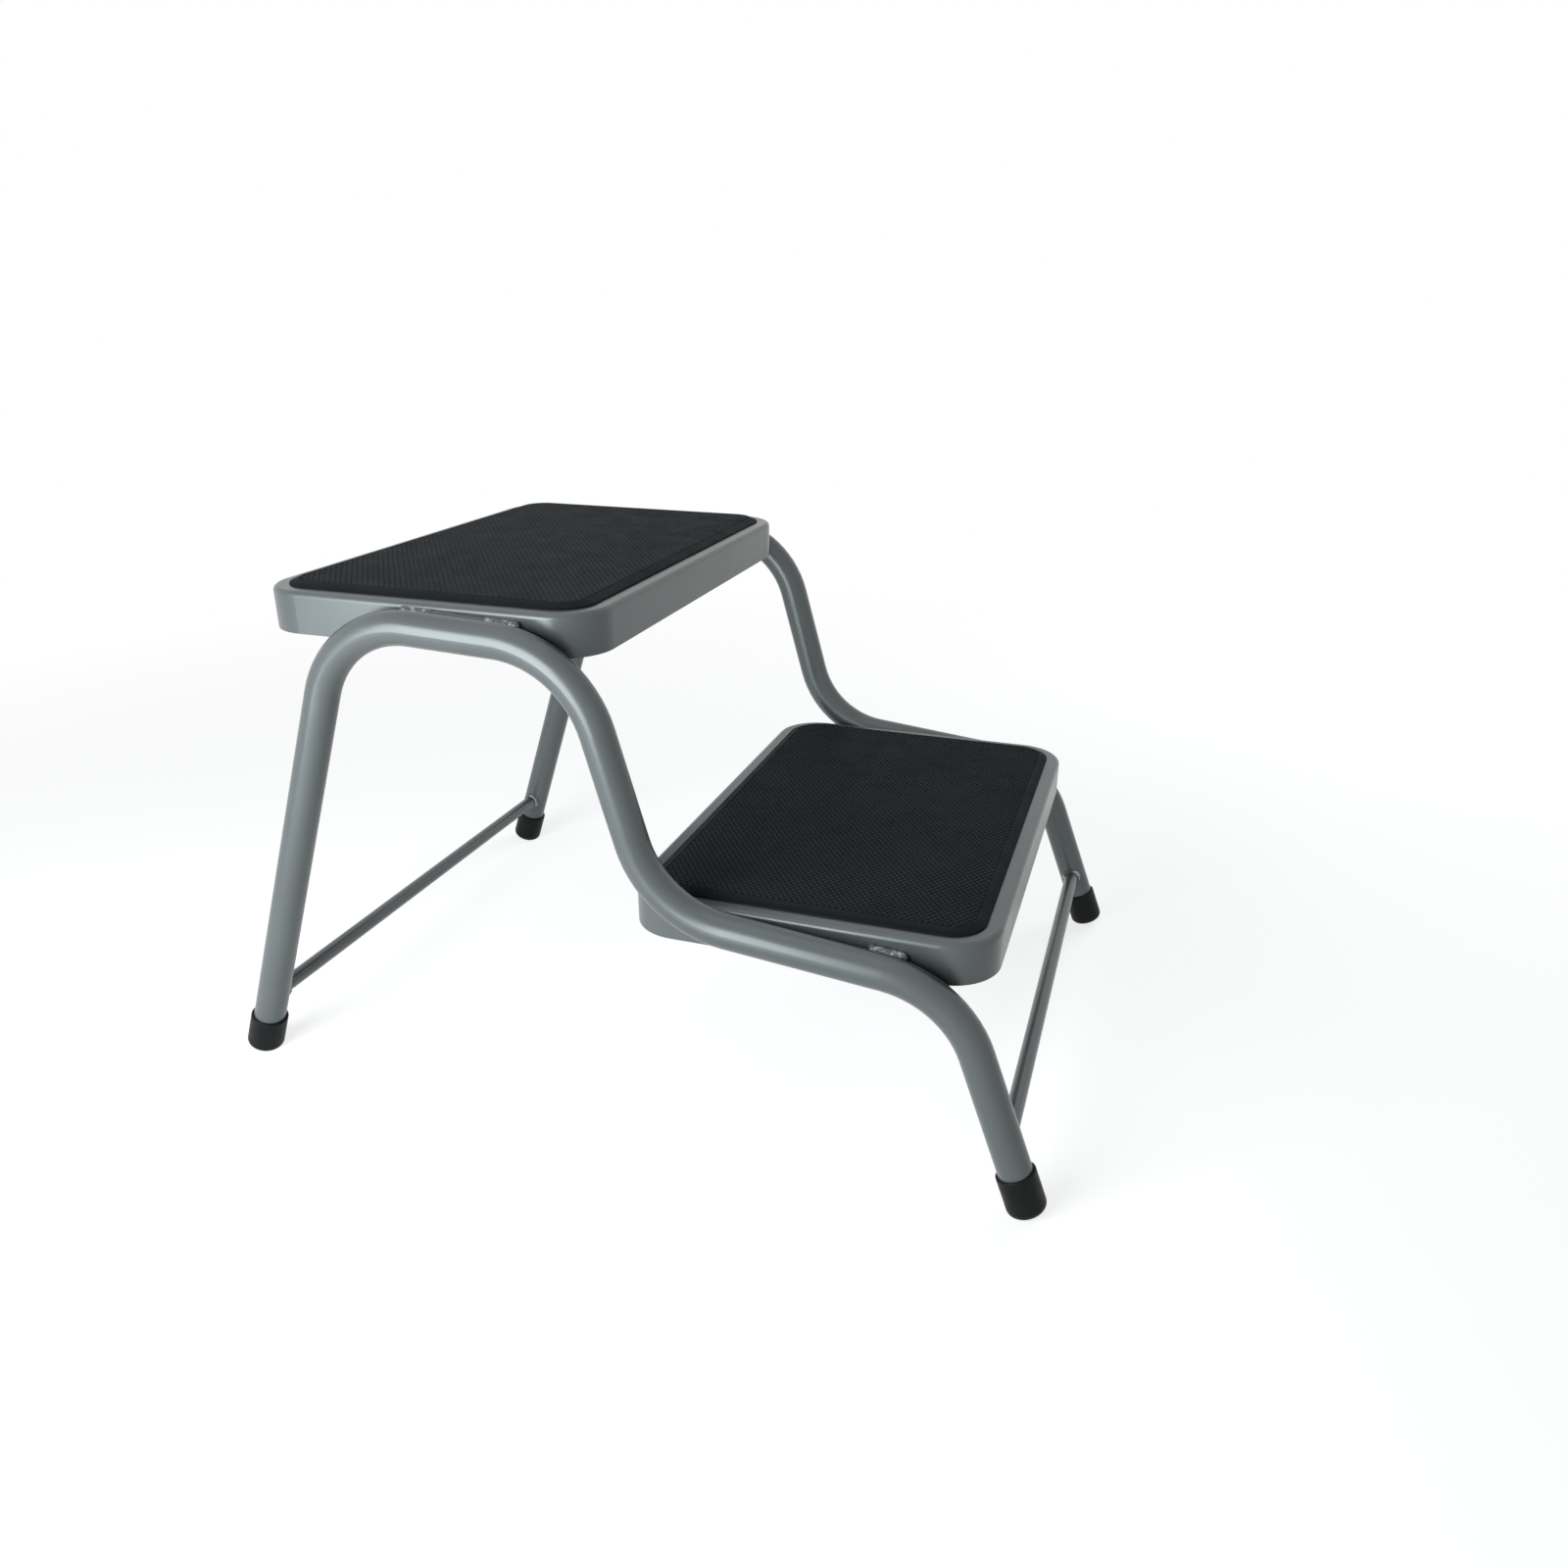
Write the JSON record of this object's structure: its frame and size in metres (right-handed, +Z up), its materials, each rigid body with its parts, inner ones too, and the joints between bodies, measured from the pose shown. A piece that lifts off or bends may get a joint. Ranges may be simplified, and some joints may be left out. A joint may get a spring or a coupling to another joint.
{
  "type": "caravan entry step",
  "caption": "Free-standing step for a caravan door: bent tube side frames carry an upper and a lower pressed steel tread with rubber mats, on rubber ferrule feet.",
  "frame": {"origin": "on the ground, in the middle of the four feet", "axes": "+Z up, -Y to the front (the lower tread), +X to the right of a person who climbs the step"},
  "size_m": [0.4718, 0.6655, 0.3955],
  "materials": {
    "grey_paint": "semi-gloss silver-grey enamel",
    "mat_rubber": "matt black rubber moulded with fine diamonds",
    "foot_rubber": "smooth black rubber"
  },
  "bodies": {
    "root": {"left_side_frame": "grey_paint", "right_side_frame": "grey_paint", "upper_tread_pan": "grey_paint", "lower_tread_pan": "grey_paint", "front_cross_rod": "grey_paint", "rear_cross_rod": "grey_paint", "upper_tread_welds": "grey_paint", "lower_tread_welds": "grey_paint", "front_rod_welds": "grey_paint", "rear_rod_welds": "grey_paint", "upper_tread_mat": "mat_rubber", "lower_tread_mat": "mat_rubber", "left_front_foot": "foot_rubber", "left_rear_foot": "foot_rubber", "right_front_foot": "foot_rubber", "right_rear_foot": "foot_rubber"}
  },
  "joints": []
}
